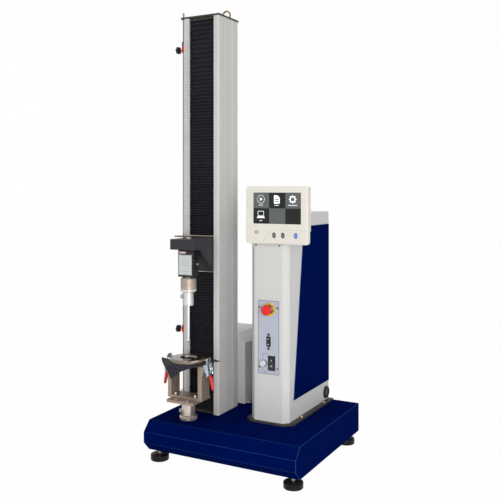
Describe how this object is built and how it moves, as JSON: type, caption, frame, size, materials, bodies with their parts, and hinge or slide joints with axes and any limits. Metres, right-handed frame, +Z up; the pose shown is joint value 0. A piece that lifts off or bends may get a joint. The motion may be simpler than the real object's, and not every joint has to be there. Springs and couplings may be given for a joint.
{
  "type": "universal testing machine",
  "caption": "Single-column bench tensile tester with a sliding crosshead, load cell, puncture probe over a clamp-ring fixture, and a control console with a display.",
  "frame": {"origin": "middle of the base on the floor that the levelling feet stand on", "axes": "+X to the operator's right, +Y to the rear, +Z up"},
  "size_m": [0.56, 0.547, 1.5592],
  "materials": {
    "navy_paint": "satin",
    "frame_steel": "matt",
    "pad_rubber": "matt",
    "extrusion": "satin",
    "black_plate": "satin",
    "lifting_steel": "satin",
    "rail_steel": "ground",
    "bearing_alloy": "machined",
    "screw_steel": "polished",
    "pulley_alloy": "machined",
    "belt_rubber": "matt",
    "motor_black": "satin",
    "pale_grey_paint": "satin",
    "bellows_fabric": "matt",
    "strip_alloy": "satin",
    "crosshead_black": "satin",
    "carriage_black": "anodised",
    "striker_steel": "satin",
    "cell_black": "anodised",
    "nickel": "satin",
    "white_nickel": "satin",
    "probe_steel": "polished",
    "pin_steel": "knurled",
    "fixture_steel": "satin",
    "navy_sheet": "matt",
    "zinc": "bright zinc",
    "lever_zinc_red": "zinc with a dipped red grip",
    "rod_steel": "satin",
    "collar_red": "anodised",
    "knob_black": "matt",
    "scale_grey": "satin",
    "console_grey": "satin",
    "flange_dark": "satin",
    "panel_blue": "satin",
    "connector_black": "matt",
    "electronics_grey": "matt",
    "panel_plate": "satin",
    "switch_base": "satin",
    "estop_red": "gloss",
    "rocker_black": "gloss",
    "knob_white": "satin",
    "display_ivory": "satin",
    "screen_glass": "gloss",
    "button_dark": "satin",
    "button_lit": "lit",
    "screw_zinc": "bright"
  },
  "bodies": {
    "machine": {"base_cover": "navy_paint", "base_frame": "frame_steel", "levelling_feet": "pad_rubber", "column_profile": "extrusion", "column_rear_cover": "extrusion", "top_plate": "black_plate", "eye_bolt": "lifting_steel", "guide_rails": "rail_steel", "screw_bearings": "bearing_alloy", "timing_belt": "belt_rubber", "drive_motor": "motor_black", "motor_cover": "pale_grey_paint", "upper_bellows": "bellows_fabric", "lower_bellows": "bellows_fabric", "bellows_strips": "strip_alloy", "base_spigot": "fixture_steel", "fixture_plate": "fixture_steel", "fixture_yoke": "fixture_steel", "specimen_sheet": "navy_sheet", "upper_ring": "fixture_steel", "clamp_brackets": "zinc", "scale_ruler": "scale_grey", "console_housing": "console_grey", "console_flange": "flange_dark", "side_panels": "panel_blue", "side_connector": "connector_black", "control_electronics": "electronics_grey", "control_panel": "panel_plate", "switch_bases": "switch_base", "display_front": "display_ivory", "display_screen": "screen_glass", "display_back": "display_ivory", "fixing_screws": "screw_zinc"},
    "crosshead": {"crosshead_bracket": "crosshead_black", "carriage": "carriage_black", "striker_arm": "striker_steel", "load_cell": "cell_black", "probe_adapter": "nickel", "probe_socket": "white_nickel", "puncture_probe": "probe_steel"},
    "screw": {"ball_screw": "screw_steel"},
    "motor_drive": {"motor_pulley": "pulley_alloy"},
    "rod": {"limit_rod": "rod_steel"},
    "upper_stop": {"upper_collar": "collar_red"},
    "upper_stop_knob": {"upper_star_knob": "knob_black"},
    "lower_stop": {"lower_collar": "collar_red"},
    "lower_stop_knob": {"lower_star_knob": "knob_black"},
    "upper_pin": {"socket_pin": "pin_steel"},
    "lower_pin": {"spigot_pin": "pin_steel"},
    "left_lever": {"left_clamp_lever": "lever_zinc_red"},
    "left_hook": {"left_clamp_hook": "zinc"},
    "right_lever": {"right_clamp_lever": "lever_zinc_red"},
    "right_hook": {"right_clamp_hook": "zinc"},
    "estop": {"estop_head": "estop_red"},
    "jog_key": {"updown_rocker": "rocker_black"},
    "power_key": {"power_rocker": "rocker_black"},
    "speed": {"speed_knob": "knob_white"},
    "menu_key": {"menu_button": "button_dark"},
    "back_key": {"back_button": "button_dark"},
    "start_key": {"start_button": "button_lit"}
  },
  "joints": [
    {"name": "crosshead_travel", "type": "slide", "parent": "machine", "child": "crosshead", "axis": [0, 0, 1], "range_m": [-0.06, 0.64], "deforming": ["upper_bellows", "lower_bellows"]},
    {"name": "screw_spin", "type": "hinge", "parent": "machine", "child": "screw", "pos_m": [-0.1645, -0.04, 0.2], "axis": [0, 0, 1], "continuous": true},
    {"name": "motor_spin", "type": "hinge", "parent": "machine", "child": "motor_drive", "pos_m": [-0.1645, 0.15, 0.1], "axis": [0, 0, 1], "continuous": true},
    {"name": "limit_rod_travel", "type": "slide", "parent": "machine", "child": "rod", "axis": [0, 0, 1], "range_m": [-0.004, 0.004], "stiffness_N_per_m": 8000},
    {"name": "upper_stop_slide", "type": "slide", "parent": "rod", "child": "upper_stop", "axis": [0, 0, 1], "range_m": [-0.5, 0.07]},
    {"name": "lower_stop_slide", "type": "slide", "parent": "rod", "child": "lower_stop", "axis": [0, 0, 1], "range_m": [-0.2, 0.3]},
    {"name": "upper_star_turn", "type": "hinge", "parent": "upper_stop", "child": "upper_stop_knob", "pos_m": [-0.263, -0.088, 1.4088], "axis": [1, 0, 0], "range_deg": [-720, 0]},
    {"name": "lower_star_turn", "type": "hinge", "parent": "lower_stop", "child": "lower_stop_knob", "pos_m": [-0.263, -0.088, 0.4188], "axis": [1, 0, 0], "range_deg": [-720, 0]},
    {"name": "upper_pin_pull", "type": "slide", "parent": "crosshead", "child": "upper_pin", "axis": [-1, 0, 0], "range_m": [0, 0.05]},
    {"name": "lower_pin_pull", "type": "slide", "parent": "machine", "child": "lower_pin", "axis": [-1, 0, 0], "range_m": [0, 0.05]},
    {"name": "left_clamp_swing", "type": "hinge", "parent": "machine", "child": "left_lever", "pos_m": [-0.24325, -0.1765, 0.327], "axis": [0, 1, 0], "range_deg": [0, 110]},
    {"name": "left_hook_swing", "type": "hinge", "parent": "left_lever", "child": "left_hook", "pos_m": [-0.24325, -0.1765, 0.31], "axis": [0, 1, 0], "range_deg": [-110, 0]},
    {"name": "right_clamp_swing", "type": "hinge", "parent": "machine", "child": "right_lever", "pos_m": [-0.08575, -0.1765, 0.327], "axis": [0, -1, 0], "range_deg": [0, 110]},
    {"name": "right_hook_swing", "type": "hinge", "parent": "right_lever", "child": "right_hook", "pos_m": [-0.08575, -0.1765, 0.31], "axis": [0, -1, 0], "range_deg": [-110, 0]},
    {"name": "estop_press", "type": "slide", "parent": "machine", "child": "estop", "axis": [0, 1, 0], "range_m": [0, 0.004], "stiffness_N_per_m": 2000},
    {"name": "jog_rock", "type": "hinge", "parent": "machine", "child": "jog_key", "pos_m": [0.0962, -0.088, 0.4075], "axis": [1, 0, 0], "range_deg": [-7, 7], "stiffness_Nm_per_rad": 0.6},
    {"name": "power_rock", "type": "hinge", "parent": "machine", "child": "power_key", "pos_m": [0.1075, -0.088, 0.3366], "axis": [1, 0, 0], "range_deg": [-7, 7]},
    {"name": "speed_turn", "type": "hinge", "parent": "machine", "child": "speed", "pos_m": [0.08, -0.095, 0.335], "axis": [0, 1, 0], "range_deg": [-150, 150]},
    {"name": "menu_press", "type": "slide", "parent": "machine", "child": "menu_key", "axis": [0, 1, 0], "range_m": [0, 0.0009], "stiffness_N_per_m": 800},
    {"name": "back_press", "type": "slide", "parent": "machine", "child": "back_key", "axis": [0, 1, 0], "range_m": [0, 0.0009], "stiffness_N_per_m": 800},
    {"name": "start_press", "type": "slide", "parent": "machine", "child": "start_key", "axis": [0, 1, 0], "range_m": [0, 0.0009], "stiffness_N_per_m": 800}
  ],
  "couplings": [
    {"joint": "screw_spin", "follows": "crosshead_travel", "rad_per_m": -628.32},
    {"joint": "motor_spin", "follows": "crosshead_travel", "rad_per_m": -942.48},
    {"joint": "left_hook_swing", "follows": "left_clamp_swing", "ratio": -1},
    {"joint": "right_hook_swing", "follows": "right_clamp_swing", "ratio": -1}
  ]
}
